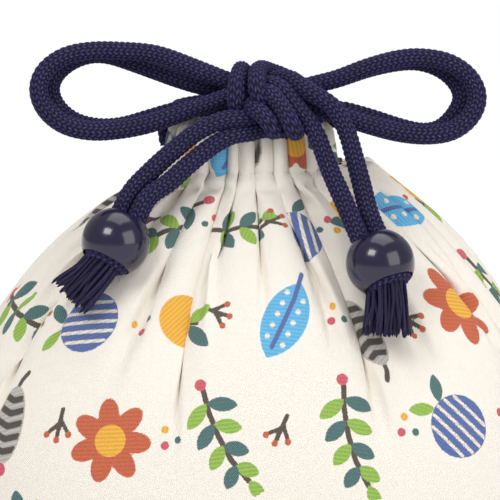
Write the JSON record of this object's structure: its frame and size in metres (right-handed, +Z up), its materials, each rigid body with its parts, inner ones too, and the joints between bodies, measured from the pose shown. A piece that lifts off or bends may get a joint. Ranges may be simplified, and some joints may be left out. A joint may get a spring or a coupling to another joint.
{
  "type": "drawstring pouch",
  "caption": "Boxed-base cloth pouch drawn shut by two round cords tied in a doubled bow, each pair of cord ends carrying a large bead and a frayed tassel.",
  "frame": {"origin": "centre of the base, on the surface the pouch stands on", "axes": "+X across the pouch's width to the right as its front is seen, -Y towards its front, +Z up"},
  "size_m": [0.16, 0.1012, 0.1586],
  "materials": {
    "cloth": "printed cotton weave",
    "cord": "knitted navy cord",
    "tassel": "frayed navy yarn",
    "bead": "gloss"
  },
  "bodies": {
    "root": {"front_panel": "cloth", "back_panel": "cloth", "bow_knot": "cord", "left_cord_in_channel": "cord", "right_cord_in_channel": "cord", "left_front_loop": "cord", "left_back_loop": "cord", "right_front_loop": "cord", "right_back_loop": "cord", "left_upper_tail": "cord", "left_lower_tail": "cord", "right_upper_tail": "cord", "right_lower_tail": "cord", "left_tassel": "tassel", "right_tassel": "tassel"},
    "left_bead": {"left_bead": "bead"},
    "right_bead": {"right_bead": "bead"}
  },
  "joints": [
    {"name": "left_bead_slide", "type": "slide", "parent": "root", "child": "left_bead", "axis": [0.4297, 0.3898, 0.8145], "range_m": [0, 0.006]},
    {"name": "right_bead_slide", "type": "slide", "parent": "root", "child": "right_bead", "axis": [-0.3701, 0.4401, 0.8182], "range_m": [0, 0.006]}
  ]
}
